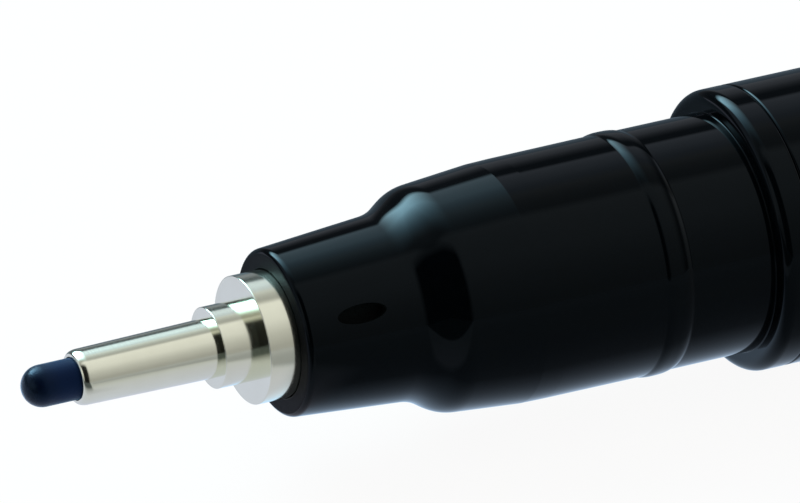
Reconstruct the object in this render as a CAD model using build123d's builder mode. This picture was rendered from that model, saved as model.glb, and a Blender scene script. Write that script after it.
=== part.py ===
from build123d import *
import os
from math import acos, atan2, degrees, hypot

# A fineliner pen with its cap posted on the tail, lying on a table on its barrel and its pocket clip.
# Millimetres. The pen's axis runs along X, the nib points to -X and the table is Z = 0.

# Nib: a porous plastic rod with a domed writing end, pushed back into the ink reservoir
nib_diameter = 1.56
nib_exposed = 2.02
nib_in_ink = 8.0
nib_point_length = 1.2
nib_point_diameter = 0.5
nib_clearance = 0.03

# Metal tip: tube, collar and flange turned in one piece, each a step out from the one before
tube_wall = 0.225
tube_taper = 0.075
tube_length = 5.44
collar_step = 0.41
collar_length = 1.38
flange_step = 0.88
flange_length = 1.20
flange_seat_depth = 0.5
shank_step = 0.7
shank_length = 4.6
rim_bevel_length = 0.35
rim_bevel_depth = 0.17
tip_edge_chamfer = 0.04
tip_clearance = 0.02

# Front section: nose, S-curved shoulder, cone, band, grip, snap bead, neck and lip
nose_front_diameter = 6.26
nose_edge_chamfer = 0.2
nose_length = 4.3
nose_rise = 0.34
shoulder_length = 2.1
shoulder_rise = 0.80
shoulder_flare = 1.1
shoulder_crown = 1.0
cone_length = 2.55
cone_rise = 0.22
band_length = 0.92
band_rise = 0.02
grip_length = 4.02
grip_rise = 0.02
bead_length = 1.07
bead_height = 0.08
neck_length = 3.37
neck_drop = 0.02
lip_length = 1.30
lip_edge_chamfer = 0.35
parting_chamfer = 0.08
gate_length = 1.9
gate_width = 0.7
gate_depth = 0.4
gate_setback = 2.25
gate_turn = 60.0
section_wall = 0.9
spigot_length = 10.0
spigot_lead = 0.3
spigot_clearance = 0.03
nib_passage_gap = 0.4
seat_rib_count = 4
seat_rib_width = 0.8
seat_rib_height = 1.2

# Ink reservoir: a fibre rod wound in plastic film
reservoir_gap = 0.1
film_thickness = 0.12
film_clearance = 0.01
reservoir_end_gap = 0.05

# Barrel, with a stepped tail that the cap is posted on
barrel_length = 78.0
barrel_mouth_wall = 0.95
barrel_bore_step = 0.35
tail_wall = 0.82
centring_rib_count = 4
centring_rib_width = 0.8
centring_rib_gap = 0.04
centring_rib_inset = 3.0

# Tail plug
plug_head_length = 1.3
plug_head_inset = 0.15
plug_dome = 0.5
plug_edge_chamfer = 0.15
plug_length = 5.0
plug_wall = 0.8
plug_clearance = 0.03

# Cap shell
cap_length = 41.5
cap_wall = 0.72
cap_fit = 0.05
cap_post_fit = 0.04
cap_post_gap = 0.6
cap_mouth_gap = 0.05
cap_draft = 0.25
cap_bore_length = 20.0
cap_side_wall = 0.75
cap_top_wall = 1.6
cap_top_chamfer = 0.35
cap_mouth_chamfer = 0.1
cap_mouth_lead = 0.2
snap_groove_clearance = 0.03

# Cap seal: the inner cup that closes round the nose
seal_overlap = 4.1
seal_gap = 0.06
seal_wall = 0.5
seal_base = 2.2
seal_lip_length = 0.8
seal_lip_height = 0.12
seal_clearance = 0.03

# Cap crown: the domed plug that traps the clip
crown_inset = 0.3
crown_rim = 0.7
crown_dome = 0.9
crown_edge_chamfer = 0.2
crown_stem_diameter = 3.8
crown_stem_clearance = 0.05
crown_barb_height = 0.12
crown_barb_length = 0.7

# Pocket clip: a sprung strip, bent over the end of the cap
clip_thickness = 0.45
clip_root_width = 4.0
clip_tip_width = 3.0
clip_length = 31.0
clip_gap = 0.9
clip_bend = 0.7
clip_eye_wall = 1.05
clip_side_clearance = 0.1
clip_top_clearance = 0.12
clip_hinge_inset = 0.55
clip_split_gap = 0.1
clip_bump_length = 5.0
clip_bump_gap = 0.06
clip_toe = 0.3
clip_edge_chamfer = 0.08

# Radii of the writing end
nib_radius = nib_diameter / 2
tip_bore_radius = nib_radius + nib_clearance
tube_front_radius = tip_bore_radius + tube_wall
tube_rear_radius = tube_front_radius + tube_taper
rim_radius = tube_front_radius - rim_bevel_depth
rim_end_radius = tube_front_radius + tube_taper * rim_bevel_length / tube_length
collar_radius = tube_rear_radius + collar_step
flange_radius = collar_radius + flange_step
shank_radius = flange_radius - shank_step

# Radii of the front section
nose_front_radius = nose_front_diameter / 2
nose_rear_radius = nose_front_radius + nose_rise
shoulder_radius = nose_rear_radius + shoulder_rise
cone_radius = shoulder_radius + cone_rise
band_radius = cone_radius + band_rise
grip_radius = band_radius + grip_rise
bead_radius = grip_radius + bead_height
neck_radius = grip_radius - neck_drop
chamber_radius = neck_radius - section_wall
passage_radius = nib_radius + nib_passage_gap
nose_slope = nose_rise / nose_length
cone_slope = cone_rise / cone_length

# Radii of the cap and of the barrel, which lies flush with the cap and with the section's lip
cap_bore_radius = grip_radius + cap_fit
cap_radius = cap_bore_radius + cap_wall
cap_top_radius = cap_radius - cap_draft
cap_end_bore_radius = cap_top_radius - cap_side_wall
barrel_radius = cap_radius
tail_radius = cap_bore_radius - cap_post_fit
mouth_bore_radius = barrel_radius - barrel_mouth_wall
spigot_radius = mouth_bore_radius - spigot_clearance
front_bore_radius = mouth_bore_radius - barrel_bore_step
rear_bore_radius = tail_radius - tail_wall
plug_radius = rear_bore_radius - plug_clearance

# Radii of the ink reservoir
film_radius = chamber_radius - reservoir_gap
film_bore_radius = film_radius - film_thickness
core_radius = film_bore_radius - film_clearance

# Places along the pen, from the front face of the section at 0 towards the tail
flange_x = -flange_length
collar_x = flange_x - collar_length
tube_x = collar_x - tube_length
nib_x = tube_x - nib_exposed
shank_end_x = flange_seat_depth + shank_length
shoulder_x = nose_length
cone_x = shoulder_x + shoulder_length
band_x = cone_x + cone_length
grip_x = band_x + band_length
bead_x = grip_x + grip_length
neck_x = bead_x + bead_length
lip_x = neck_x + neck_length
barrel_x = lip_x + lip_length
spigot_end_x = barrel_x + spigot_length
chamber_x = bead_x - seat_rib_height
reservoir_x = chamber_x + seat_rib_height
nib_end_x = reservoir_x + nib_in_ink
step_x = barrel_x + barrel_length
bore_step_x = step_x - barrel_mouth_wall
cap_x = step_x + cap_mouth_gap
seal_x = cap_x + lip_x - seal_overlap
tail_end_x = seal_x - cap_post_gap
barrel_end_x = tail_end_x - plug_head_length
plug_x = barrel_end_x - plug_length
reservoir_end_x = plug_x - reservoir_end_gap
cap_end_x = cap_x + cap_length
cap_floor_x = cap_end_x - cap_top_wall
crown_end_x = cap_end_x + crown_rim + crown_dome

# Clip: where its strip runs, and how far the pen rolls until the clip's edge meets the table
clip_pocket_depth = clip_thickness + clip_top_clearance
clip_strip_x = cap_end_x - clip_pocket_depth + clip_thickness / 2
clip_bend_radius = clip_bend + clip_thickness / 2
clip_arm_radius = cap_top_radius + clip_gap + clip_thickness / 2
clip_bend_start = clip_arm_radius - clip_bend_radius
clip_hinge_radius = cap_top_radius - crown_inset - clip_hinge_inset
clip_tip_x = clip_strip_x - clip_bend_radius - clip_length
clip_outer_radius = clip_arm_radius + clip_thickness / 2
clip_touch_radius = clip_outer_radius - clip_edge_chamfer
clip_edge_reach = hypot(clip_touch_radius, clip_root_width / 2)
clip_edge_angle = degrees(atan2(clip_root_width / 2, clip_touch_radius))
clip_from_down = degrees(acos(barrel_radius / clip_edge_reach)) + clip_edge_angle

# The pen's own frame: local x along the pen, local y outwards from its axis
pen_middle = (nib_x + crown_end_x) / 2
pen_origin = (-pen_middle, 0, barrel_radius)
pen_axis = Axis(pen_origin, (1, 0, 0))
pen_plane = Plane(origin=pen_origin, x_dir=(1, 0, 0), z_dir=(0, -1, 0))
clip_plane = pen_plane.rotated((180 - clip_from_down, 0, 0))
gate_plane = pen_plane.rotated((gate_turn, 0, 0))


def across(x):
    """The plane square to the pen at x, facing the tail, with its local x towards the clip."""
    return Plane(origin=pen_plane.from_local_coords((x, 0, 0)), x_dir=clip_plane.y_dir, z_dir=(1, 0, 0))


def rims(piece, *places):
    """The circular edges of a piece at these places, each given by its x and its radius."""
    found = []
    for x, radius in places:
        middle = pen_plane.from_local_coords((x, 0, 0))
        for edge in piece.edges().filter_by(GeomType.CIRCLE):
            if abs(edge.radius - radius) < 1e-3 and (edge.arc_center - middle).length < 1e-3:
                found.append(edge)
    return found


def cap_skin(x):
    """The radius of the cap's outside at x."""
    return cap_radius - cap_draft * (x - cap_x) / cap_length


with BuildPart() as nib:
    with BuildSketch(pen_plane):
        with BuildLine():
            dome = CenterArc((nib_x + nib_radius, 0), nib_radius, 180, -90)
            Polyline(
                dome @ 1,
                (nib_end_x - nib_point_length, nib_radius),
                (nib_end_x, nib_point_diameter / 2),
                (nib_end_x, 0),
                (nib_x, 0),
            )
        make_face()
    revolve(axis=pen_axis)
nib.part.label = "nib"

with BuildPart() as metal_tip:
    with BuildSketch(pen_plane):
        with BuildLine():
            Polyline(
                (tube_x, tip_bore_radius),
                (tube_x, rim_radius),
                (tube_x + rim_bevel_length, rim_end_radius),
                (collar_x, tube_rear_radius),
                (collar_x, collar_radius),
                (flange_x, collar_radius),
                (flange_x, flange_radius),
                (flange_seat_depth, flange_radius),
                (flange_seat_depth, shank_radius),
                (shank_end_x, shank_radius),
                (shank_end_x, tip_bore_radius),
                close=True,
            )
        make_face()
    revolve(axis=pen_axis)
    tip_edges = rims(
        metal_tip,
        (collar_x, collar_radius),
        (flange_x, flange_radius),
        (shank_end_x, shank_radius),
    )
    chamfer(tip_edges, tip_edge_chamfer)
metal_tip.part.label = "metal_tip"

with BuildPart() as front_section:
    with BuildSketch(pen_plane):
        with BuildLine():
            front = Polyline(
                (0, flange_radius + tip_clearance),
                (0, nose_front_radius),
                (shoulder_x, nose_rear_radius),
            )
            shoulder = Bezier(
                front @ 1,
                (shoulder_x + shoulder_flare, nose_rear_radius + shoulder_flare * nose_slope),
                (cone_x - shoulder_crown, shoulder_radius - shoulder_crown * cone_slope),
                (cone_x, shoulder_radius),
            )
            grip = Polyline(
                shoulder @ 1,
                (band_x, cone_radius),
                (grip_x, band_radius),
                (bead_x, grip_radius),
            )
            bead = ThreePointArc(
                grip @ 1,
                (bead_x + bead_length / 2, bead_radius),
                (neck_x, neck_radius),
            )
            Polyline(
                bead @ 1,
                (lip_x, neck_radius),
                (lip_x, barrel_radius),
                (barrel_x, barrel_radius),
                (barrel_x, spigot_radius),
                (spigot_end_x - spigot_lead, spigot_radius),
                (spigot_end_x, spigot_radius - spigot_lead),
                (spigot_end_x, chamber_radius),
                (chamber_x, chamber_radius),
                (chamber_x, passage_radius),
                (shank_end_x, passage_radius),
                (shank_end_x, shank_radius + tip_clearance),
                (flange_seat_depth, shank_radius + tip_clearance),
                (flange_seat_depth, flange_radius + tip_clearance),
                front @ 0,
            )
        make_face()
    revolve(axis=pen_axis)
    chamfer(rims(front_section, (lip_x, barrel_radius)), lip_edge_chamfer)
    chamfer(rims(front_section, (0, nose_front_radius)), nose_edge_chamfer)
    chamfer(rims(front_section, (barrel_x, barrel_radius)), parting_chamfer)
    # Ribs on the chamber's floor hold the reservoir off it, so that air can pass
    with BuildSketch(across(chamber_x)):
        rib_middle = (passage_radius + chamber_radius) / 2
        rib_depth = chamber_radius - passage_radius
        with PolarLocations(rib_middle, seat_rib_count):
            Rectangle(rib_depth, seat_rib_width)
    extrude(amount=seat_rib_height)
    # The oval recess in the nose where the plastic enters the mould
    gate_floor = nose_front_radius + gate_setback * nose_slope - gate_depth
    with BuildSketch(Plane(origin=pen_origin, x_dir=(1, 0, 0), z_dir=gate_plane.y_dir).offset(gate_floor)):
        with Locations((gate_setback, 0)):
            Ellipse(gate_length / 2, gate_width / 2)
    extrude(amount=2 * gate_depth, mode=Mode.SUBTRACT)
front_section.part.label = "front_section"

with BuildPart() as ink_reservoir:
    with BuildSketch(pen_plane):
        with BuildLine():
            Polyline(
                (reservoir_x, tip_bore_radius),
                (reservoir_x, core_radius),
                (reservoir_end_x, core_radius),
                (reservoir_end_x, 0),
                (nib_end_x + nib_clearance, 0),
                (nib_end_x + nib_clearance, tip_bore_radius),
                close=True,
            )
        make_face()
    revolve(axis=pen_axis)
ink_reservoir.part.label = "ink_reservoir"

with BuildPart() as reservoir_film:
    with BuildSketch(across(reservoir_x)):
        Circle(film_radius)
        Circle(film_bore_radius, mode=Mode.SUBTRACT)
    extrude(amount=reservoir_end_x - reservoir_x)
reservoir_film.part.label = "reservoir_film"

with BuildPart() as barrel:
    with BuildSketch(pen_plane):
        with BuildLine():
            Polyline(
                (barrel_x, mouth_bore_radius),
                (barrel_x, barrel_radius),
                (step_x, barrel_radius),
                (step_x, tail_radius),
                (barrel_end_x, tail_radius),
                (barrel_end_x, rear_bore_radius),
                (bore_step_x, rear_bore_radius),
                (bore_step_x, front_bore_radius),
                (spigot_end_x + spigot_lead, front_bore_radius),
                (spigot_end_x + spigot_lead, mouth_bore_radius),
                close=True,
            )
        make_face()
    revolve(axis=pen_axis)
    chamfer(rims(barrel, (barrel_x, barrel_radius), (step_x, barrel_radius)), parting_chamfer)
    # Ribs along the bore centre the reservoir and leave an air space round it
    rib_start_x = spigot_end_x + centring_rib_inset
    rib_inner = film_radius + centring_rib_gap
    rib_outer = front_bore_radius + centring_rib_gap
    with BuildSketch(across(rib_start_x)):
        with PolarLocations((rib_inner + rib_outer) / 2, centring_rib_count):
            Rectangle(rib_outer - rib_inner, centring_rib_width)
    extrude(amount=bore_step_x - rib_start_x)
barrel.part.label = "barrel"

with BuildPart() as tail_plug:
    head_radius = tail_radius - plug_head_inset
    with BuildSketch(pen_plane):
        with BuildLine():
            sides = Polyline(
                (barrel_end_x, 0),
                (barrel_end_x - plug_wall, 0),
                (barrel_end_x - plug_wall, plug_radius - plug_wall),
                (plug_x, plug_radius - plug_wall),
                (plug_x, plug_radius),
                (barrel_end_x, plug_radius),
                (barrel_end_x, head_radius),
                (tail_end_x - plug_dome, head_radius),
            )
            TangentArc((tail_end_x, 0), sides @ 1, tangent=(0, 1))
            Line((tail_end_x, 0), sides @ 0)
        make_face()
    revolve(axis=pen_axis)
    chamfer(rims(tail_plug, (tail_end_x - plug_dome, head_radius)), plug_edge_chamfer)
tail_plug.part.label = "tail_plug"

with BuildPart() as cap_shell:
    groove_start_x = cap_x + neck_length - snap_groove_clearance
    groove_end_x = groove_start_x + bead_length + 2 * snap_groove_clearance
    groove_radius = bead_radius + snap_groove_clearance
    stem_hole_radius = crown_stem_diameter / 2 + crown_stem_clearance
    with BuildSketch(pen_plane):
        with BuildLine():
            outside = Polyline(
                (cap_x, cap_bore_radius + cap_mouth_lead),
                (cap_x, cap_radius),
                (cap_end_x, cap_top_radius),
                (cap_end_x, stem_hole_radius),
                (cap_floor_x, stem_hole_radius),
                (cap_floor_x, cap_end_bore_radius),
                (cap_x + cap_bore_length, cap_end_bore_radius),
                (cap_x + cap_bore_length, cap_bore_radius),
                (groove_end_x, cap_bore_radius),
            )
            groove = ThreePointArc(
                outside @ 1,
                ((groove_start_x + groove_end_x) / 2, groove_radius),
                (groove_start_x, cap_bore_radius),
            )
            Polyline(groove @ 1, (cap_x + cap_mouth_lead, cap_bore_radius), outside @ 0)
        make_face()
    revolve(axis=pen_axis)
    chamfer(rims(cap_shell, (cap_end_x, cap_top_radius)), cap_top_chamfer)
    chamfer(rims(cap_shell, (cap_x, cap_radius)), cap_mouth_chamfer)
    # The pocket for the clip's eye, and the notch that its strip leaves by
    eye_radius = stem_hole_radius + clip_eye_wall
    with BuildSketch(across(cap_end_x)):
        Circle(eye_radius + clip_side_clearance)
        with Locations((cap_radius / 2, 0)):
            Rectangle(cap_radius, clip_root_width + 2 * clip_side_clearance)
    extrude(amount=-clip_pocket_depth, mode=Mode.SUBTRACT)
cap_shell.part.label = "cap_shell"

with BuildPart() as cap_seal:
    seal_bore_radius = nose_rear_radius + seal_gap
    seal_outer_radius = seal_bore_radius + seal_wall
    seal_base_x = cap_floor_x - seal_base
    seal_base_radius = cap_end_bore_radius - seal_clearance
    barb_pocket_radius = stem_hole_radius + crown_barb_height + crown_stem_clearance
    barb_pocket_x = cap_floor_x - crown_barb_length - 2 * crown_stem_clearance
    with BuildSketch(pen_plane):
        with BuildLine():
            Polyline(
                (seal_x, seal_bore_radius),
                (seal_x + seal_lip_length / 2, seal_bore_radius - seal_lip_height),
                (seal_x + seal_lip_length, seal_bore_radius),
                (barb_pocket_x - seal_wall, seal_bore_radius),
                (barb_pocket_x - seal_wall, 0),
                (barb_pocket_x, 0),
                (barb_pocket_x, barb_pocket_radius),
                (cap_floor_x, barb_pocket_radius),
                (cap_floor_x, seal_base_radius),
                (seal_base_x, seal_base_radius),
                (seal_base_x, seal_outer_radius),
                (seal_x, seal_outer_radius),
                close=True,
            )
        make_face()
    revolve(axis=pen_axis)
cap_seal.part.label = "cap_seal"

with BuildPart() as cap_crown:
    crown_radius = cap_top_radius - crown_inset
    stem_radius = crown_stem_diameter / 2
    stem_end_x = cap_floor_x - crown_stem_clearance - crown_barb_length
    with BuildSketch(pen_plane):
        with BuildLine():
            stem = Polyline(
                (stem_end_x, 0),
                (stem_end_x, stem_radius),
                (cap_floor_x - crown_stem_clearance, stem_radius + crown_stem_clearance + crown_barb_height),
                (cap_floor_x - crown_stem_clearance, stem_radius),
                (cap_end_x, stem_radius),
                (cap_end_x, crown_radius),
                (cap_end_x + crown_rim, crown_radius),
            )
            TangentArc((crown_end_x, 0), stem @ 1, tangent=(0, 1))
            Line((crown_end_x, 0), stem @ 0)
        make_face()
    revolve(axis=pen_axis)
    chamfer(rims(cap_crown, (cap_end_x + crown_rim, crown_radius)), crown_edge_chamfer)
cap_crown.part.label = "cap_crown"

with BuildPart() as clip_root:
    with BuildSketch(across(cap_end_x - clip_pocket_depth)):
        tab_length = clip_hinge_radius - clip_thickness / 2 - clip_split_gap
        Circle(eye_radius)
        with Locations((tab_length / 2, 0)):
            Rectangle(tab_length, clip_root_width)
        Circle(stem_hole_radius, mode=Mode.SUBTRACT)
    extrude(amount=clip_thickness)
clip_root.part.label = "clip_root"

with BuildPart() as clip_arm:
    toe_radius = clip_tip_width / 2
    bump_end_x = clip_tip_x + toe_radius + clip_toe
    bump_x = bump_end_x + clip_bump_length / 2
    bump_radius = cap_skin(bump_x) + clip_bump_gap + clip_thickness / 2
    bump_side_radius = (clip_arm_radius + bump_radius) / 2
    with BuildSketch(clip_plane):
        with BuildLine():
            tab = Line((clip_strip_x, clip_hinge_radius), (clip_strip_x, clip_bend_start))
            bend = CenterArc((clip_strip_x - clip_bend_radius, clip_bend_start), clip_bend_radius, 0, 90)
            arm = Line(bend @ 1, (bump_x + clip_bump_length / 2, clip_arm_radius))
            dip = TangentArc(arm @ 1, (bump_x + clip_bump_length / 4, bump_side_radius), tangent=(-1, 0))
            bump = TangentArc(dip @ 1, (bump_x - clip_bump_length / 4, bump_side_radius), tangent=dip % 1)
            rise = TangentArc(bump @ 1, (bump_end_x, clip_arm_radius), tangent=bump % 1)
            Line(rise @ 1, (clip_tip_x, clip_arm_radius))
        trace(line_width=clip_thickness)
        with Locations((clip_strip_x, clip_hinge_radius)):
            Circle(clip_thickness / 2)
    extrude(amount=clip_root_width / 2, both=True)
    # The strip narrows towards its rounded toe
    with BuildSketch(Plane(origin=clip_plane.origin, x_dir=(1, 0, 0), z_dir=clip_plane.y_dir)):
        with Locations((clip_tip_x + toe_radius, 0)):
            Circle(toe_radius)
        with Locations((cap_end_x + clip_thickness, 0)):
            Rectangle(clip_thickness, clip_root_width)
        make_hull()
    extrude(amount=clip_outer_radius + clip_thickness, mode=Mode.INTERSECT)
    chamfer(clip_arm.edges().sort_by(SortBy.LENGTH)[-4:], clip_edge_chamfer)
clip_arm.part.label = "clip_arm"

os.makedirs("parts", exist_ok=True)
pieces = [
    nib, metal_tip, front_section, ink_reservoir, reservoir_film, barrel, tail_plug,
    cap_shell, cap_seal, cap_crown, clip_root, clip_arm,
]
for piece in pieces:
    export_step(piece.part, f"parts/{piece.part.label}.step")
print(f"capped {cap_length + crown_rim + crown_dome + tail_end_x - lip_x:.1f} mm")
print(f"open, without the cap {tail_end_x - nib_x:.1f} mm")
print(f"cap posted {crown_end_x - nib_x:.1f} mm, diameter {2 * barrel_radius:.2f} mm")
print(f"clip lies {clip_from_down:.2f} degrees from straight down")
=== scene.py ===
import math

import bpy
from mathutils import Matrix, Vector
from mathutils.geometry import interpolate_bezier


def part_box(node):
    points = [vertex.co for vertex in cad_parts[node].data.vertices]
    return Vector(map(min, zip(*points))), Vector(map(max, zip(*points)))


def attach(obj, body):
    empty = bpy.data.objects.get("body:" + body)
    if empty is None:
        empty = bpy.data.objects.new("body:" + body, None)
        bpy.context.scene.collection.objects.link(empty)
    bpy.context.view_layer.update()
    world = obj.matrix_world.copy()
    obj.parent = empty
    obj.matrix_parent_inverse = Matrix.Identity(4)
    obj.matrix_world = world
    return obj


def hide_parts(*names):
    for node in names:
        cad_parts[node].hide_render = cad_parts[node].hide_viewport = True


# A fineliner pen with its cap posted on the tail. The writing end, which is seen close up, the barrel and the
# cap's crown are turned again here with fine rounds, and the other pieces keep their solids. Outlines are in
# millimetres, and everything that reaches Blender is in metres.
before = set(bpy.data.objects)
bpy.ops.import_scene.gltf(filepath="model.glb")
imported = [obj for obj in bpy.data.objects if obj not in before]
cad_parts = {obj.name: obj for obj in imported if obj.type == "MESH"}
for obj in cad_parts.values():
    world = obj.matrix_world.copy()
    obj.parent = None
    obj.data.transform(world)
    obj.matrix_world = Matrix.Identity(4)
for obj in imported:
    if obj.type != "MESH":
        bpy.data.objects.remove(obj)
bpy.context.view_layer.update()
MM = 0.001

# How finely the outlines are drawn and turned
ARC_STEPS = 8
CURVE_STEPS = 48
SUPPORT = 0.04
SIDES = 224
MERGE_DISTANCE = 0.0002
SHARP_ANGLE = math.radians(35)


def size_mm(node):
    """The lowest and highest corner of a CAD node, in millimetres."""
    low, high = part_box(node)
    return low / MM, high / MM


# Places and radii that the CAD parts give
section_low, section_high = size_mm("front_section")
tip_low, tip_high = size_mm("metal_tip")
nib_low, nib_high = size_mm("nib")
barrel_low, barrel_high = size_mm("barrel")
cap_low, cap_high = size_mm("cap_shell")
crown_low, crown_high = size_mm("cap_crown")
axis_height = (barrel_low.z + barrel_high.z) / 2
barrel_radius = (barrel_high.z - barrel_low.z) / 2
flange_radius = (tip_high.z - tip_low.z) / 2
nib_radius = (nib_high.z - nib_low.z) / 2
section_x = section_low.x
nib_x = nib_low.x - section_x
tube_x = tip_low.x - section_x
shank_end_x = tip_high.x - section_x
nib_end_x = nib_high.x - section_x
barrel_x = barrel_low.x - section_x
barrel_end_x = barrel_high.x - section_x
spigot_end_x = section_high.x - section_x
cap_end_x = cap_high.x - section_x
crown_radius = (crown_high.z - crown_low.z) / 2
crown_stem_x = crown_low.x - section_x
crown_end_x = crown_high.x - section_x

# Nib, whose rear end tapers where it goes into the fibre
nib_taper_length = 1.2
nib_taper_radius = 0.25

# Metal tip, from its tube back to its shank
nib_clearance = 0.03
tube_wall = 0.225
tube_taper = 0.075
rim_length = 0.35
rim_depth = 0.17
collar_step = 0.41
collar_length = 1.38
flange_length = 1.20
flange_seat_depth = 0.5
shank_step = 0.7
tip_edge_round = 0.03
tip_bore_radius = nib_radius + nib_clearance
tube_front_radius = tip_bore_radius + tube_wall
tube_rear_radius = tube_front_radius + tube_taper
collar_radius = tube_rear_radius + collar_step
shank_radius = flange_radius - shank_step
flange_x = -flange_length
collar_x = flange_x - collar_length

# Front section, from its front face back to its spigot
tip_clearance = 0.02
nose_front_radius = 3.13
nose_edge_round = 0.25
nose_length = 4.3
nose_rise = 0.34
shoulder_length = 2.1
shoulder_rise = 0.80
shoulder_flare = 1.1
shoulder_crown = 1.0
cone_length = 2.55
cone_rise = 0.22
band_length = 0.92
band_rise = 0.02
grip_length = 4.02
grip_rise = 0.02
bead_length = 1.07
bead_height = 0.08
bead_fullness = 3
neck_length = 3.37
neck_drop = 0.02
lip_edge_round = 0.45
parting_round = 0.1
crease_round = 0.05
section_wall = 0.9
nib_passage_gap = 0.4
seat_rib_height = 1.2
spigot_clearance = 0.03
spigot_lead = 0.3
nose_rear_radius = nose_front_radius + nose_rise
shoulder_radius = nose_rear_radius + shoulder_rise
cone_radius = shoulder_radius + cone_rise
band_radius = cone_radius + band_rise
grip_radius = band_radius + grip_rise
neck_radius = grip_radius - neck_drop
chamber_radius = neck_radius - section_wall
passage_radius = nib_radius + nib_passage_gap

# Gate recess in the nose
gate_length = 1.9
gate_width = 0.7
gate_depth = 0.4
gate_setback = 2.25
gate_turn = 60.0

# Barrel, with a slimmer tail that the cap is posted on
barrel_mouth_wall = 0.95
barrel_bore_step = 0.35
cap_mouth_gap = 0.05
tail_radius = 4.54
tail_wall = 0.82
step_x = cap_low.x - section_x - cap_mouth_gap
bore_step_x = step_x - barrel_mouth_wall

# Cap crown
crown_dome = 0.9
crown_edge_round = 0.25
crown_stem_radius = 1.9
crown_barb_length = 0.7
crown_barb_height = 0.17
crown_barb_radius = crown_stem_radius + crown_barb_height


def srgb(code):
    """A colour written as an sRGB hex value, as linear red, green and blue with a full alpha."""
    shares = [int(code[i:i + 2], 16) / 255 for i in (1, 3, 5)]
    return [c / 12.92 if c <= 0.04045 else ((c + 0.055) / 1.055) ** 2.4 for c in shares] + [1.0]


def per_mm(size):
    """The scale at which a texture repeats about once in this many millimetres."""
    return 1 / (size * MM)


def add_node(tree, kind, inputs=None, **settings):
    """Adds a node with its settings. Each input is given a value, or the output that is linked to it."""
    made = tree.nodes.new(kind)
    for name, value in settings.items():
        setattr(made, name, value)
    for socket, given in (inputs or {}).items():
        if isinstance(given, bpy.types.NodeSocket):
            tree.links.new(given, made.inputs[socket])
        else:
            made.inputs[socket].default_value = given
    return made


def start_material(name, **values):
    """A new material with its tree, one Principled shader with values by socket name, and the place on the
    object."""
    material = bpy.data.materials.new(name)
    material.use_nodes = True
    tree = material.node_tree
    tree.nodes.clear()
    inputs = {socket.replace("_", " "): value for socket, value in values.items()}
    shader = add_node(tree, "ShaderNodeBsdfPrincipled", inputs)
    add_node(tree, "ShaderNodeOutputMaterial", {"Surface": shader.outputs["BSDF"]})
    place = add_node(tree, "ShaderNodeTexCoord").outputs["Object"]
    return material, tree, shader, place


def apply_pattern(tree, shader, pattern, colours=None, roughness=None, relief=None):
    """Lets a pattern from 0 to 1 run between two colours or two roughnesses, or raise the surface by a height
    in millimetres."""
    if colours:
        low, high = map(srgb, colours)
        colour = add_node(tree, "ShaderNodeMix", {0: pattern, 6: low, 7: high}, data_type="RGBA")
        tree.links.new(colour.outputs[2], shader.inputs["Base Color"])
    if roughness:
        low, high = roughness
        gloss = add_node(tree, "ShaderNodeMapRange", {"Value": pattern, "To Min": low, "To Max": high})
        tree.links.new(gloss.outputs["Result"], shader.inputs["Roughness"])
    if relief:
        bump = add_node(tree, "ShaderNodeBump", {"Height": pattern, "Strength": 1.0, "Distance": relief * MM})
        tree.links.new(bump.outputs["Normal"], shader.inputs["Normal"])


def moulded_black_abs():
    """ABS from a polished mould: deep black and glossy, with the slight waviness that moulding leaves."""
    # ABS has an index of about 1.54. A lower one matches the photo, whose black gives little light back
    material, tree, shader, place = start_material(
        "moulded_black_abs", IOR=1.21, Specular_Tint=srgb("#d8eefc"))
    waviness = add_node(tree, "ShaderNodeTexNoise", {"Vector": place, "Scale": per_mm(3.5), "Detail": 1.0})
    haze = add_node(tree, "ShaderNodeTexNoise", {"Vector": place, "Scale": per_mm(0.4), "Detail": 4.0})
    apply_pattern(
        tree, shader, haze.outputs["Fac"], colours=("#020304", "#030507"), roughness=(0.03, 0.08))
    apply_pattern(tree, shader, waviness.outputs["Fac"], relief=0.002)
    return material


def dull_black_abs():
    """The same ABS off an unpolished face of the mould: black, with a fine grain that spreads the light."""
    material, tree, shader, place = start_material("dull_black_abs", IOR=1.21)
    grain = add_node(tree, "ShaderNodeTexNoise", {"Vector": place, "Scale": per_mm(0.06), "Detail": 3.0})
    apply_pattern(
        tree, shader, grain.outputs["Fac"], colours=("#020304", "#06090b"), roughness=(0.5, 0.7),
        relief=0.004)
    return material


def torn_black_abs():
    """The same ABS where the gate was broken off: dull and finely torn."""
    material, tree, shader, place = start_material("torn_black_abs", IOR=1.1)
    tear = add_node(
        tree, "ShaderNodeTexNoise", {"Vector": place, "Scale": per_mm(0.15), "Detail": 4.0, "Roughness": 0.7})
    apply_pattern(
        tree, shader, tear.outputs["Fac"], colours=("#0a0e0e", "#121616"), roughness=(0.5, 0.8),
        relief=0.03)
    return material


def turned_nickel_silver():
    """Nickel silver from a lathe: a warm white metal, polished, with faint rings round it."""
    material, tree, shader, place = start_material("turned_nickel_silver", Metallic=1.0)
    # Real turning marks are about 0.02 mm apart, so they are drawn three times as coarse to show
    along = add_node(tree, "ShaderNodeSeparateXYZ", {"Vector": place}).outputs["X"]
    pitch = add_node(tree, "ShaderNodeMath", {0: along, 1: per_mm(0.06)}, operation="MULTIPLY")
    rings = add_node(
        tree, "ShaderNodeTexNoise", {"W": pitch.outputs[0], "Scale": 1.0, "Detail": 2.0},
        noise_dimensions="1D")
    tarnish = add_node(tree, "ShaderNodeTexNoise", {"Vector": place, "Scale": per_mm(0.9), "Detail": 4.0})
    apply_pattern(tree, shader, tarnish.outputs["Fac"], colours=("#eff1df", "#e7e8d5"))
    apply_pattern(tree, shader, rings.outputs["Fac"], roughness=(0.1, 0.18), relief=0.0006)
    return material


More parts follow.
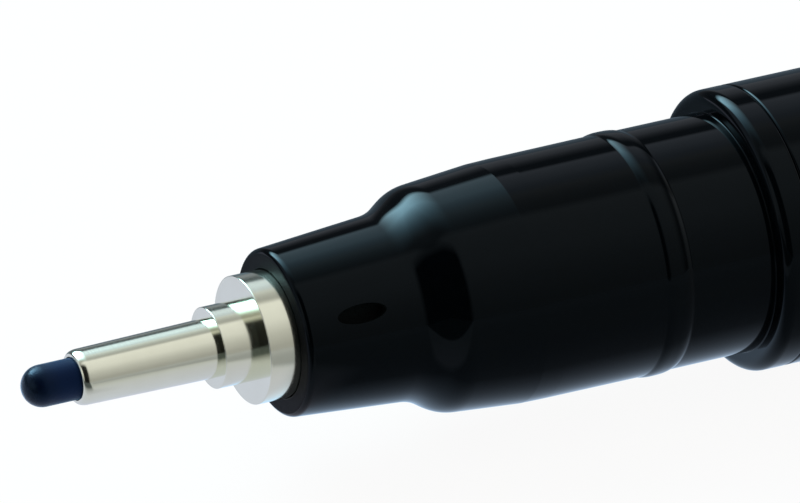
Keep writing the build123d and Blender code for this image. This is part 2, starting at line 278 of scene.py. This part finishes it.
def inked_porous_acetal():
    """A porous plastic nib soaked in blue-black ink, with a soft bluish sheen. It is glossiest at its point,
    and its colour is darker towards the point."""
    material, tree, shader, place = start_material(
        "inked_porous_acetal", IOR=1.33, Specular_Tint=srgb("#9cc8f4"), Sheen_Weight=0.8,
        Sheen_Roughness=0.3, Sheen_Tint=srgb("#a4d0f8"))
    pores = add_node(tree, "ShaderNodeTexNoise", {"Vector": place, "Scale": per_mm(0.08), "Detail": 3.0})
    along = add_node(tree, "ShaderNodeSeparateXYZ", {"Vector": place}).outputs["X"]
    point_length = 0.1
    fade_length = 1.2
    point_end_x = nib_low.x + point_length
    fade_end_x = point_end_x + fade_length
    from_point = add_node(
        tree, "ShaderNodeMapRange",
        {"Value": along, "From Min": point_end_x * MM, "From Max": fade_end_x * MM}).outputs[0]
    wet_roughness = 0.2
    dry_roughness = add_node(
        tree, "ShaderNodeMapRange", {"Value": pores.outputs["Fac"], "To Min": 0.5, "To Max": 0.65}).outputs[0]
    roughness = add_node(tree, "ShaderNodeMix", {0: from_point, 2: wet_roughness, 3: dry_roughness})
    tree.links.new(roughness.outputs[0], shader.inputs["Roughness"])
    # The colour is darker towards the point
    apply_pattern(tree, shader, from_point, colours=("#03060e", "#051538"))
    apply_pattern(tree, shader, pores.outputs["Fac"], relief=0.008)
    return material


def inked_fibre():
    """A bundle of polyester fibres that run along the pen, soaked in blue-black ink."""
    material, tree, shader, place = start_material("inked_fibre", IOR=1.35)
    # Real fibres are about 0.02 mm thick, so they are drawn five times as coarse to show
    stretch = 30.0
    strands = add_node(
        tree, "ShaderNodeMapping", {"Vector": place, "Scale": (stretch, 1.0, 1.0)}, vector_type="TEXTURE")
    fibres = add_node(
        tree, "ShaderNodeTexNoise", {"Vector": strands.outputs[0], "Scale": per_mm(0.1), "Detail": 2.0})
    apply_pattern(
        tree, shader, fibres.outputs["Fac"], colours=("#080c18", "#1b2a4c"), roughness=(0.55, 0.85),
        relief=0.02)
    return material


def wound_clear_film():
    """Clear polypropylene film, slightly wrinkled where it is wound round the fibre."""
    material, tree, shader, place = start_material("wound_clear_film", IOR=1.49, Transmission_Weight=1.0)
    wrinkles = add_node(tree, "ShaderNodeTexNoise", {"Vector": place, "Scale": per_mm(2.0), "Detail": 3.0})
    apply_pattern(
        tree, shader, wrinkles.outputs["Fac"], colours=("#f4f8fa", "#ffffff"), roughness=(0.05, 0.15),
        relief=0.02)
    return material


def natural_polythene():
    """Uncoloured polythene: milky and waxy, with a fine moulded grain."""
    material, tree, shader, place = start_material(
        "natural_polythene", IOR=1.5, Subsurface_Weight=0.3, Subsurface_Scale=0.6 * MM)
    grain = add_node(tree, "ShaderNodeTexNoise", {"Vector": place, "Scale": per_mm(0.12), "Detail": 3.0})
    apply_pattern(
        tree, shader, grain.outputs["Fac"], colours=("#d6dad9", "#e6e9e6"), roughness=(0.35, 0.5),
        relief=0.004)
    return material


def brushed_spring_steel():
    """Plated spring steel, brushed along the clip."""
    material, tree, shader, place = start_material("brushed_spring_steel", Metallic=1.0)
    # Real brush marks are about 0.02 mm wide, so they are drawn three times as coarse to show
    stretch = 40.0
    stretched = add_node(
        tree, "ShaderNodeMapping", {"Vector": place, "Scale": (stretch, 1.0, 1.0)}, vector_type="TEXTURE")
    brushing = add_node(
        tree, "ShaderNodeTexNoise", {"Vector": stretched.outputs[0], "Scale": per_mm(0.06), "Detail": 3.0})
    apply_pattern(
        tree, shader, brushing.outputs["Fac"], colours=("#c9ccce", "#dcdee0"), roughness=(0.14, 0.3),
        relief=0.001)
    return material


def rounded(corners):
    """The outline through corners (x, radius, round), with an arc at each corner that has a round."""
    outline = []
    for index, (x, r, bend) in enumerate(corners):
        corner = Vector((x, r))
        if bend == 0:
            outline.append(corner)
            continue
        before = (Vector(corners[index - 1][:2]) - corner).normalized()
        after = (Vector(corners[index + 1][:2]) - corner).normalized()
        half = before.angle(after) / 2
        centre = corner + (before + after).normalized() * bend / math.sin(half)
        start = corner + before * bend / math.tan(half) - centre
        turn = -math.copysign(math.pi - 2 * half, before.cross(after))
        for step in range(ARC_STEPS + 1):
            outline.append(centre + Matrix.Rotation(turn * step / ARC_STEPS, 2) @ start)
    return outline


def supported(outline):
    """The outline with a point close to both ends of each long run, so that rounds shade crisply."""
    points = [outline[0]]
    for start, end in zip(outline, outline[1:]):
        run = end - start
        if run.length > 4 * SUPPORT:
            step = run.normalized() * SUPPORT
            points += [start + step, end - step]
        points.append(end)
    return points


def turning_tree():
    """Turns an outline, a row of points with x along the pen and y its radius, about the pen's axis."""
    tree = bpy.data.node_groups.new("turned_piece", "GeometryNodeTree")
    sockets = [
        ("Outline", "NodeSocketGeometry"), ("Sides", "NodeSocketInt"), ("Axis Height", "NodeSocketFloat"),
        ("Finish", "NodeSocketMaterial"),
    ]
    for name, kind in sockets:
        tree.interface.new_socket(name, in_out="INPUT", socket_type=kind)
    tree.interface.new_socket("Piece", in_out="OUTPUT", socket_type="NodeSocketGeometry")
    given = add_node(tree, "NodeGroupInput").outputs
    # A grid with a column for each point and a row for each side, and one more row that closes the turn
    count = add_node(tree, "GeometryNodeAttributeDomainSize", {"Geometry": given["Outline"]})
    rows = add_node(tree, "ShaderNodeMath", {0: given["Sides"], 1: 1.0}, operation="ADD").outputs[0]
    grid = add_node(
        tree, "GeometryNodeMeshGrid", {"Vertices X": count.outputs["Point Count"], "Vertices Y": rows})
    index = add_node(tree, "GeometryNodeInputIndex").outputs["Index"]
    share = add_node(tree, "ShaderNodeMath", {0: index, 1: rows}, operation="DIVIDE").outputs[0]
    point = add_node(tree, "ShaderNodeMath", {0: share}, operation="FLOOR").outputs[0]
    side = add_node(tree, "ShaderNodeMath", {0: index, 1: rows}, operation="MODULO").outputs[0]
    # Each of its points goes to its outline point's radius, at its side's angle
    turn = add_node(
        tree, "ShaderNodeMath", {0: 2 * math.pi, 1: given["Sides"]}, operation="DIVIDE").outputs[0]
    angle = add_node(tree, "ShaderNodeMath", {0: side, 1: turn}, operation="MULTIPLY").outputs[0]
    position = add_node(tree, "GeometryNodeInputPosition").outputs["Position"]
    sampled = add_node(
        tree, "GeometryNodeSampleIndex", data_type="FLOAT_VECTOR",
        inputs={"Geometry": given["Outline"], "Value": position, "Index": point})
    outline = add_node(tree, "ShaderNodeSeparateXYZ", {"Vector": sampled.outputs["Value"]}).outputs
    sine = add_node(tree, "ShaderNodeMath", {0: angle}, operation="SINE").outputs[0]
    cosine = add_node(tree, "ShaderNodeMath", {0: angle}, operation="COSINE").outputs[0]
    across = add_node(tree, "ShaderNodeMath", {0: outline["Y"], 1: sine}, operation="MULTIPLY").outputs[0]
    above = add_node(
        tree, "ShaderNodeMath", {0: outline["Y"], 1: cosine, 2: given["Axis Height"]},
        operation="MULTIPLY_ADD").outputs[0]
    placed = add_node(tree, "ShaderNodeCombineXYZ", {"X": outline["X"], "Y": across, "Z": above})
    turned = add_node(
        tree, "GeometryNodeSetPosition",
        {"Geometry": grid.outputs["Mesh"], "Position": placed.outputs["Vector"]})
    closed = add_node(
        tree, "GeometryNodeMergeByDistance",
        {"Geometry": turned.outputs["Geometry"], "Distance": MERGE_DISTANCE * MM})
    smooth = add_node(tree, "GeometryNodeSetShadeSmooth", {"Geometry": closed.outputs["Geometry"]})
    real = add_node(tree, "GeometryNodeRealizeInstances", {"Geometry": smooth.outputs["Geometry"]})
    finished = add_node(
        tree, "GeometryNodeSetMaterial",
        {"Geometry": real.outputs["Geometry"], "Material": given["Finish"]})
    add_node(tree, "NodeGroupOutput", {"Piece": finished.outputs["Geometry"]})
    return tree


def settle(piece):
    """Puts what a piece's modifiers make into its mesh, with crisp edges where it turns a corner."""
    bpy.context.view_layer.update()
    evaluated = piece.evaluated_get(bpy.context.evaluated_depsgraph_get())
    made = bpy.data.meshes.new_from_object(evaluated)
    made.set_sharp_from_angle(angle=SHARP_ANGLE)
    piece.modifiers.clear()
    piece.data = made
    made.name = piece.name


def turn_piece(name, outline, finish, node, body="pen"):
    """A turned piece from its outline, which runs out over the front, back over the outside and in again."""
    lathe = bpy.data.node_groups.get("turned_piece") or turning_tree()
    points = [((section_x + x) * MM, r * MM, 0) for x, r in supported(outline)]
    mesh = bpy.data.meshes.new(name)
    mesh.from_pydata(points, [], [])
    piece = bpy.data.objects.new(name, mesh)
    bpy.context.scene.collection.objects.link(piece)
    modifier = piece.modifiers.new("turned", "NODES")
    modifier.node_group = lathe
    values = {"Sides": SIDES, "Axis Height": axis_height * MM, "Finish": finish}
    for item in lathe.interface.items_tree:
        if item.in_out == "INPUT" and item.name in values:
            modifier[item.identifier] = values[item.name]
    settle(piece)
    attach(piece, body)
    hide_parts(node)
    return piece


def make_nib(finish):
    """The nib: a rod with a domed writing end."""
    dome_steps = 2 * ARC_STEPS
    dome = []
    for step in range(dome_steps + 1):
        angle = math.pi / 2 * step / dome_steps
        dome.append(Vector((nib_x + nib_radius * (1 - math.cos(angle)), nib_radius * math.sin(angle))))
    rear = rounded([
        (nib_end_x - nib_taper_length, nib_radius, 0),
        (nib_end_x, nib_taper_radius, 0),
        (nib_end_x, 0, 0),
    ])
    turn_piece("nib_point", dome + rear, finish, "nib")


def make_metal_tip(finish):
    """The metal tip: a slender tube with a drawn-in rim, a collar, a flange and the shank in the section."""
    tube_slope = (tube_rear_radius - tube_front_radius) / (collar_x - tube_x)
    rim_steps = 2 * ARC_STEPS
    rim = []
    for step in range(rim_steps + 1):
        angle = math.pi / 2 * step / rim_steps
        x = rim_length * (1 - math.cos(angle))
        drop = rim_depth * (1 - math.sin(angle))
        rim.append(Vector((tube_x + x, tube_front_radius + tube_slope * x - drop)))
    mouth = rounded([
        (tube_x + tip_edge_round, tip_bore_radius, 0),
        (tube_x, tip_bore_radius, tip_edge_round / 2),
        (tube_x, tube_front_radius - rim_depth, 0),
    ])
    steps = rounded([
        (collar_x, tube_rear_radius, 0),
        (collar_x, collar_radius, tip_edge_round),
        (flange_x, collar_radius, 0),
        (flange_x, flange_radius, tip_edge_round),
        (flange_seat_depth, flange_radius, tip_edge_round),
        (flange_seat_depth, shank_radius, 0),
        (shank_end_x, shank_radius, tip_edge_round),
        (shank_end_x, tip_bore_radius, 0),
        (tube_x + tip_edge_round, tip_bore_radius, 0),
    ])
    turn_piece("tip_sleeve", mouth[:-1] + rim + steps, finish, "metal_tip")


def make_front_section(finish, face_finish, gate_finish):
    """The front section: nose, S-curved shoulder, cone, grip, snap bead, neck, lip and spigot."""
    seat_radius = flange_radius + tip_clearance
    shank_seat_radius = shank_radius + tip_clearance
    shoulder_x = nose_length
    cone_x = shoulder_x + shoulder_length
    band_x = cone_x + cone_length
    grip_x = band_x + band_length
    bead_x = grip_x + grip_length
    neck_x = bead_x + bead_length
    lip_x = neck_x + neck_length
    chamber_x = bead_x - seat_rib_height
    spigot_radius = barrel_radius - barrel_mouth_wall - spigot_clearance
    nose_slope = (nose_rear_radius - nose_front_radius) / nose_length
    cone_slope = (cone_radius - shoulder_radius) / cone_length
    nose = rounded([
        (crease_round, seat_radius, 0),
        (0, seat_radius, crease_round),
        (0, nose_front_radius, nose_edge_round),
        (shoulder_x, nose_rear_radius, 0),
    ])
    shoulder = interpolate_bezier(
        Vector((shoulder_x, nose_rear_radius)),
        Vector((shoulder_x + shoulder_flare, nose_rear_radius + shoulder_flare * nose_slope)),
        Vector((cone_x - shoulder_crown, shoulder_radius - shoulder_crown * cone_slope)),
        Vector((cone_x, shoulder_radius)),
        CURVE_STEPS)
    grip = rounded([
        (cone_x, shoulder_radius, 0),
        (band_x, cone_radius, crease_round),
        (grip_x, band_radius, crease_round),
        (bead_x, grip_radius, 0),
    ])
    bead = []
    for step in range(1, 2 * ARC_STEPS):
        share = step / (2 * ARC_STEPS)
        rise = bead_height * (1 - abs(2 * share - 1) ** bead_fullness)
        foot = grip_radius + (neck_radius - grip_radius) * share
        bead.append(Vector((bead_x + bead_length * share, foot + rise)))
    rear = rounded([
        (neck_x, neck_radius, 0),
        (lip_x, neck_radius, crease_round),
        (lip_x, barrel_radius, lip_edge_round),
        (barrel_x, barrel_radius, parting_round),
        (barrel_x, spigot_radius, 0),
        (spigot_end_x - spigot_lead, spigot_radius, 0),
        (spigot_end_x, spigot_radius - spigot_lead, 0),
        (spigot_end_x, chamber_radius, 0),
        (chamber_x, chamber_radius, 0),
        (chamber_x, passage_radius, 0),
        (shank_end_x, passage_radius, 0),
        (shank_end_x, shank_seat_radius, 0),
        (flange_seat_depth, shank_seat_radius, 0),
        (flange_seat_depth, seat_radius, 0),
        (crease_round, seat_radius, 0),
    ])
    outline = nose + shoulder[1:-1] + grip + bead + rear
    section = turn_piece("grip_section", outline, finish, "front_section")
    dull_front_face(section, face_finish)
    cut_gate(section, gate_finish)


def dull_front_face(section, finish):
    """Gives the flat face round the metal tip a finish of its own."""
    facing_front = -0.9
    section.data.materials.append(finish)
    slot = section.data.materials.find(finish.name)
    for face in section.data.polygons:
        if face.normal.x < facing_front and face.center.x < (section_x + nose_edge_round) * MM:
            face.material_index = slot


def cut_gate(section, finish):
    """Cuts the oval recess in the nose where the plastic entered the mould and the gate was broken off."""
    along = Vector((1, 0, 0))
    outward = Matrix.Rotation(math.radians(gate_turn), 3, "X") @ Vector((0, 0, 1))
    sideways = outward.cross(along)
    middle = Vector((section_x + gate_setback, 0, axis_height))
    nose_radius = nose_front_radius + (nose_rear_radius - nose_front_radius) * gate_setback / nose_length
    sides = 8 * ARC_STEPS
    corners = []
    for reach in (nose_radius - gate_depth, nose_radius + gate_depth):
        for step in range(sides):
            angle = 2 * math.pi * step / sides
            oval = along * gate_length / 2 * math.cos(angle) + sideways * gate_width / 2 * math.sin(angle)
            corners.append((middle + outward * reach + oval) * MM)
    ring = list(range(sides))
    walls = [(i, (i + 1) % sides, (i + 1) % sides + sides, i + sides) for i in ring]
    mesh = bpy.data.meshes.new("gate")
    mesh.from_pydata(corners, [], walls + [ring[::-1], [i + sides for i in ring]])
    mesh.materials.append(finish)
    cutter = bpy.data.objects.new("gate", mesh)
    bpy.context.scene.collection.objects.link(cutter)
    modifier = section.modifiers.new("gate", "BOOLEAN")
    modifier.operation = "DIFFERENCE"
    modifier.object = cutter
    modifier.material_mode = "TRANSFER"
    settle(section)
    bpy.data.objects.remove(cutter)
    bpy.data.meshes.remove(mesh)


def make_barrel(finish):
    """The barrel: a tube with a slimmer tail for the cap and a bore that steps in behind the spigot."""
    mouth_radius = barrel_radius - barrel_mouth_wall
    front_bore_radius = mouth_radius - barrel_bore_step
    rear_bore_radius = tail_radius - tail_wall
    outline = rounded([
        (barrel_x, mouth_radius, 0),
        (barrel_x, barrel_radius, parting_round),
        (step_x, barrel_radius, parting_round),
        (step_x, tail_radius, crease_round),
        (barrel_end_x, tail_radius, crease_round),
        (barrel_end_x, rear_bore_radius, 0),
        (bore_step_x, rear_bore_radius, 0),
        (bore_step_x, front_bore_radius, 0),
        (spigot_end_x + spigot_lead, front_bore_radius, 0),
        (spigot_end_x + spigot_lead, mouth_radius, 0),
        (barrel_x, mouth_radius, 0),
    ])
    turn_piece("barrel_tube", outline, finish, "barrel")


def make_cap_crown(finish):
    """The cap's crown: a domed disc on a barbed stem."""
    barb_x = crown_stem_x + crown_barb_length
    dome_radius = (crown_radius ** 2 + crown_dome ** 2) / (2 * crown_dome)
    spread = math.asin(crown_radius / dome_radius)
    dome_steps = 2 * ARC_STEPS
    dome = []
    for step in range(1, dome_steps + 1):
        angle = spread * (1 - step / dome_steps)
        sink = dome_radius * (1 - math.cos(angle))
        dome.append(Vector((crown_end_x - sink, dome_radius * math.sin(angle))))
    plug = rounded([
        (crown_stem_x, 0, 0),
        (crown_stem_x, crown_stem_radius, 0),
        (barb_x, crown_barb_radius, 0),
        (barb_x, crown_stem_radius, 0),
        (cap_end_x, crown_stem_radius, 0),
        (cap_end_x, crown_radius, 0),
        (crown_end_x - crown_dome, crown_radius, crown_edge_round),
        (*dome[0], 0),
    ])
    turn_piece("crown_plug", plug + dome[1:], finish, "cap_crown", "cap")


def paint(node, finish):
    """Gives a CAD node its finish."""
    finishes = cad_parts[node].data.materials
    finishes.clear()
    finishes.append(finish)


def painted_floor_gloss(tree, place):
    """The tint and level at which the floor shows in the gloss, painted by place as light and shade: a
    painted pale and cool glow under the pen, painted shade that is greyer in front of it and dim well behind
    the black section, and painted dark ahead of the tip on the camera's side."""
    spot = add_node(tree, "ShaderNodeSeparateXYZ", {"Vector": place}).outputs
    # Two places, in millimetres behind the pen's axis, and the painted level or share at each
    levels = {
        "by_tip": (-20, 4, 0.48, 0.85),
        "ahead_of_tip": (-4, -16, 1.0, 0.06),
        "under_section": (-5.5, -1.5, 0.3, 1.2),
        "far_in_front": (-12, -70, 0.3, 0.4),
        "behind_section": (4, 11, 1.0, 0.12),
        "near": (-15, 2, 0.0, 1.0),
    }
    seen = {}
    for name, (start, end, first, last) in levels.items():
        ranged = add_node(
            tree, "ShaderNodeMapRange",
            {"Value": spot["Y"], "From Min": start * MM, "From Max": end * MM,
             "To Min": first, "To Max": last})
        seen[name] = ranged.outputs[0]
    # Painted shade: the floor shows dark in the gloss ahead of the tip, on the camera's side
    unlit_x, lit_x = section_x - 5.2, section_x - 3.9
    ahead = add_node(
        tree, "ShaderNodeMapRange",
        {"Value": spot["X"], "From Min": lit_x * MM, "From Max": unlit_x * MM}).outputs[0]
    unlit = add_node(tree, "ShaderNodeMix", {0: ahead, 2: 1.0, 3: seen["ahead_of_tip"]}).outputs[0]
    by_tip = add_node(tree, "ShaderNodeMath", {0: seen["by_tip"], 1: unlit}, operation="MULTIPLY").outputs[0]
    in_front = add_node(
        tree, "ShaderNodeMath", {0: seen["under_section"], 1: seen["far_in_front"]}, operation="MAXIMUM")
    by_section = add_node(
        tree, "ShaderNodeMath", {0: in_front.outputs[0], 1: seen["behind_section"]},
        operation="MULTIPLY").outputs[0]
    # The painted levels by the tip and by the section meet along a line that slants for the first few
    # millimetres
    slant = 0.35
    slant_end = -9 * MM
    slanting = add_node(tree, "ShaderNodeMath", {0: spot["Y"], 1: slant_end}, operation="MAXIMUM").outputs[0]
    along = add_node(
        tree, "ShaderNodeMath", {0: slanting, 1: slant, 2: spot["X"]}, operation="MULTIPLY_ADD").outputs[0]
    tip_x, black_x = section_x - 0.2, section_x + 1.2
    at_section = add_node(
        tree, "ShaderNodeMapRange",
        {"Value": along, "From Min": tip_x * MM, "From Max": black_x * MM}).outputs[0]
    level = add_node(tree, "ShaderNodeMix", {0: at_section, 2: by_tip, 3: by_section}).outputs[0]
    # Painted cool tint of the floor in the gloss, palest and coolest under the pen
    cool = add_node(
        tree, "ShaderNodeMix", {0: at_section, 6: srgb("#e2e6ff"), 7: srgb("#bcddff")}, data_type="RGBA")
    tint = add_node(
        tree, "ShaderNodeMix", {0: seen["near"], 6: srgb("#fcfcff"), 7: cool.outputs[2]}, data_type="RGBA")
    return tint.outputs[2], level


def lay_floor():
    """A pale floor that shows white and keeps a soft shadow."""
    material, tree, shader, place = start_material("white_paper", Roughness=0.9)
    grain = add_node(tree, "ShaderNodeTexNoise", {"Vector": place, "Scale": per_mm(0.6), "Detail": 2.0})
    apply_pattern(tree, shader, grain.outputs["Fac"], colours=("#fdf4ee", "#fff6f0"))
    # In the gloss the floor shows this painted light and shade instead of its lit paper
    gloss_tint, gloss_level = painted_floor_gloss(tree, place)
    path = add_node(tree, "ShaderNodeLightPath").outputs
    tint = add_node(
        tree, "ShaderNodeMix", {0: path["Is Camera Ray"], 6: gloss_tint, 7: srgb("#ffffff")},
        data_type="RGBA")
    level = add_node(tree, "ShaderNodeMix", {0: path["Is Camera Ray"], 2: gloss_level, 3: 1.0})
    white = add_node(tree, "ShaderNodeEmission", {"Color": tint.outputs[2], "Strength": level.outputs[0]})
    mirrored = add_node(
        tree, "ShaderNodeMath", {0: path["Is Glossy Ray"], 1: path["Is Transmission Ray"]},
        operation="MAXIMUM").outputs[0]
    seen = add_node(
        tree, "ShaderNodeMath", {0: mirrored, 1: path["Is Camera Ray"]}, operation="MAXIMUM").outputs[0]
    # The rest of what is seen is the paper itself, which keeps the shadow
    white_share = 0.94
    share = add_node(tree, "ShaderNodeMath", {0: seen, 1: white_share}, operation="MULTIPLY").outputs[0]
    mixed = add_node(
        tree, "ShaderNodeMixShader", {0: share, 1: shader.outputs["BSDF"], 2: white.outputs["Emission"]})
    tree.links.new(mixed.outputs["Shader"], tree.nodes["Material Output"].inputs["Surface"])
    reach = 4.0
    mesh = bpy.data.meshes.new("floor")
    mesh.from_pydata(
        [(-reach, -reach, 0), (reach, -reach, 0), (reach, reach, 0), (-reach, reach, 0)], [], [(0, 1, 2, 3)])
    mesh.materials.append(material)
    floor = bpy.data.objects.new("floor", mesh)
    bpy.context.scene.collection.objects.link(floor)


def add_room(tree, angle):
    """The studio's light by its angle about the pen: dim at the horizon behind it, then a dark gap, a pale
    wall that dims overhead, and a pale ceiling that dims towards the horizon in front."""
    cool, plain = srgb("#e2ebf8"), srgb("#fffefb")
    # Each stop's angle in degrees, its level and its tint
    levels = [
        (0, 0.30, cool), (18, 0.07, cool), (28, 0.09, cool), (33, 0.86, cool), (50, 0.86, cool),
        (61, 0.72, cool), (69, 0.60, plain), (76, 0.47, plain), (83, 0.40, plain), (88, 0.40, plain),
        (95, 0.87, plain), (127, 0.77, plain), (150, 0.55, plain), (173, 0.40, plain), (180, 0.40, plain),
    ]
    share = add_node(tree, "ShaderNodeMapRange", {"Value": angle, "From Max": math.pi}).outputs[0]
    room = add_node(tree, "ShaderNodeValToRGB", {"Fac": share})
    while len(room.color_ramp.elements) < len(levels):
        room.color_ramp.elements.new(1.0)
    for stop, (degrees, level, tint) in zip(room.color_ramp.elements, levels):
        stop.position = degrees / 180
        stop.color = [level * part for part in tint[:3]] + [1]
    return room.outputs["Color"]


def add_softbox(tree, along, angle, low_angle, tilted):
    """The softbox's glow, behind and above the pen: brighter towards the nib's side, with a crisp lower edge,
    a wide fade upwards and an end that leans."""
    strength = 17.0
    glow_power = 1.15
    fade_power = 2.3
    end_lean = 0.384
    toward_nib = add_node(
        tree, "ShaderNodeMapRange", {"Value": along, "From Min": 0.372, "From Max": -0.25}).outputs[0]
    glow = add_node(tree, "ShaderNodeMath", {0: toward_nib, 1: glow_power}, operation="POWER").outputs[0]
    low_edge = add_node(
        tree, "ShaderNodeMapRange",
        {"Value": low_angle, "From Min": math.radians(27), "From Max": math.radians(33)}).outputs[0]
    upwards = add_node(
        tree, "ShaderNodeMapRange",
        {"Value": tilted, "From Min": math.radians(95), "From Max": math.radians(44)}).outputs[0]
    fade = add_node(tree, "ShaderNodeMath", {0: upwards, 1: fade_power}, operation="POWER").outputs[0]
    leaning = add_node(
        tree, "ShaderNodeMath", {0: angle, 1: end_lean, 2: along}, operation="MULTIPLY_ADD").outputs[0]
    end = add_node(
        tree, "ShaderNodeMapRange",
        {"Value": leaning, "From Min": -0.23, "From Max": -0.13, "To Max": strength}).outputs[0]
    box = glow
    for part in (low_edge, fade, end):
        box = add_node(tree, "ShaderNodeMath", {0: box, 1: part}, operation="MULTIPLY").outputs[0]
    return box


def add_dim_ends(tree, along, tilted):
    """The share of the light that is left past the tail, where the studio is dim up to its end wall, and on
    the nib's side in front, which is unlit up to the other end wall."""
    past_tail = add_node(
        tree, "ShaderNodeMapRange",
        {"Value": along, "From Min": 0.46, "From Max": 0.62, "To Min": 1.0, "To Max": 0.3}).outputs[0]
    tail_wall = add_node(
        tree, "ShaderNodeMapRange",
        {"Value": along, "From Min": 0.66, "From Max": 0.8, "To Max": 1.3}).outputs[0]
    at_tail = add_node(tree, "ShaderNodeMath", {0: past_tail, 1: tail_wall}, operation="MAXIMUM").outputs[0]
    nib_side = add_node(
        tree, "ShaderNodeMapRange", {"Value": along, "From Min": 0.07, "From Max": -0.09}).outputs[0]
    before_wall = add_node(
        tree, "ShaderNodeMapRange",
        {"Value": along, "From Min": -0.74, "From Max": -0.82, "To Min": 1.0, "To Max": 0.0}).outputs[0]
    in_front = add_node(
        tree, "ShaderNodeMapRange",
        {"Value": tilted, "From Min": math.radians(102), "From Max": math.radians(118),
         "To Max": 0.985}).outputs[0]
    unlit = nib_side
    for part in (before_wall, in_front):
        unlit = add_node(tree, "ShaderNodeMath", {0: unlit, 1: part}, operation="MULTIPLY").outputs[0]
    lit = add_node(tree, "ShaderNodeMath", {0: 1.0, 1: unlit}, operation="SUBTRACT").outputs[0]
    return add_node(tree, "ShaderNodeMath", {0: lit, 1: at_tail}, operation="MULTIPLY").outputs[0]


def light_studio():
    """A white studio, seen in the gloss: a softbox behind and above the pen that is brightest over the nib, a
    pale ceiling in front, dark gaps between them, and an unlit side round the camera."""
    world = bpy.data.worlds.new("studio")
    world.use_nodes = True
    tree = world.node_tree
    tree.nodes.clear()
    direction = add_node(tree, "ShaderNodeTexCoord").outputs["Generated"]
    way = add_node(tree, "ShaderNodeSeparateXYZ", {"Vector": direction}).outputs
    # Angle about the pen: 0 is the horizon behind it, 90 is straight up and 180 is the horizon in front
    angle = add_node(tree, "ShaderNodeMath", {0: way["Z"], 1: way["Y"]}, operation="ARCTAN2").outputs[0]
    # The softbox's lower edge sinks towards the nib's side, so low angles are shifted there
    shift_power = 6.0
    nib_shift, tail_shift = math.radians(11), math.radians(-20)
    along = add_node(
        tree, "ShaderNodeMapRange", {"Value": way["X"], "From Min": -0.2, "From Max": 0.39}).outputs[0]
    toward_tail = add_node(tree, "ShaderNodeMath", {0: along, 1: shift_power}, operation="POWER").outputs[0]
    shift = add_node(
        tree, "ShaderNodeMath", {0: toward_tail, 1: tail_shift - nib_shift, 2: nib_shift},
        operation="MULTIPLY_ADD").outputs[0]
    low = add_node(
        tree, "ShaderNodeMapRange",
        {"Value": angle, "From Max": math.radians(60), "To Min": 1.0, "To Max": 0.0}).outputs[0]
    low_angle = add_node(
        tree, "ShaderNodeMath", {0: shift, 1: low, 2: angle}, operation="MULTIPLY_ADD").outputs[0]
    # The upper edges are tilted the same way all along
    tilt = math.radians(-28)
    tilted = add_node(
        tree, "ShaderNodeMath", {0: way["X"], 1: tilt, 2: angle}, operation="MULTIPLY_ADD").outputs[0]
    room = add_room(tree, low_angle)
    box = add_softbox(tree, way["X"], angle, low_angle, tilted)
    lit = add_node(
        tree, "ShaderNodeVectorMath", {0: box, 1: srgb("#b6eafa")[:3], 2: room},
        operation="MULTIPLY_ADD").outputs[0]
    left = add_dim_ends(tree, way["X"], tilted)
    soft = add_node(tree, "ShaderNodeBackground", {"Color": lit, "Strength": left})
    white = add_node(tree, "ShaderNodeBackground", {"Color": srgb("#ffffff"), "Strength": 1.0})
    path = add_node(tree, "ShaderNodeLightPath").outputs
    mixed = add_node(
        tree, "ShaderNodeMixShader",
        {0: path["Is Camera Ray"], 1: soft.outputs["Background"], 2: white.outputs["Background"]})
    add_node(tree, "ShaderNodeOutputWorld", {"Surface": mixed.outputs["Shader"]})
    bpy.context.scene.world = world


def place_camera():
    """A long lens at the photograph's viewing angle, close on the writing end."""
    azimuth = math.radians(-26.1)
    elevation = math.radians(27.3)
    pen_tilt = math.radians(12.66)
    view_width = 29.24
    distance = 600.0
    # The middle of the picture: how far behind the section's front face, and how far above the pen's axis
    aim_setback = 5.64
    aim_rise = 1.90
    right = Vector((math.cos(azimuth), math.sin(azimuth), 0))
    level_back = Vector((math.sin(azimuth), -math.cos(azimuth), 0))
    back = level_back * math.cos(elevation) + Vector((0, 0, math.sin(elevation)))
    up = back.cross(right)
    square_to_pen = up * math.cos(pen_tilt) - right * math.sin(pen_tilt)
    aim = Vector((section_x + aim_setback, 0, axis_height)) + square_to_pen * aim_rise
    data = bpy.data.cameras.new("camera")
    data.sensor_width = 36.0
    data.lens = data.sensor_width * distance / view_width
    camera = bpy.data.objects.new("camera", data)
    bpy.context.scene.collection.objects.link(camera)
    camera.location = (aim + back * distance) * MM
    camera.rotation_mode = "QUATERNION"
    camera.rotation_quaternion = (-back).to_track_quat("-Z", "Y")
    bpy.context.scene.camera = camera


bpy.context.scene.view_settings.view_transform = "Standard"
black_abs = moulded_black_abs()
spring_steel = brushed_spring_steel()
make_nib(inked_porous_acetal())
make_metal_tip(turned_nickel_silver())
make_front_section(black_abs, dull_black_abs(), torn_black_abs())
make_barrel(black_abs)
make_cap_crown(black_abs)
for name in ("tail_plug", "cap_shell"):
    paint(name, black_abs)
for name in ("clip_root", "clip_arm"):
    paint(name, spring_steel)
paint("ink_reservoir", inked_fibre())
paint("reservoir_film", wound_clear_film())
paint("cap_seal", natural_polythene())
lay_floor()
light_studio()
place_camera()
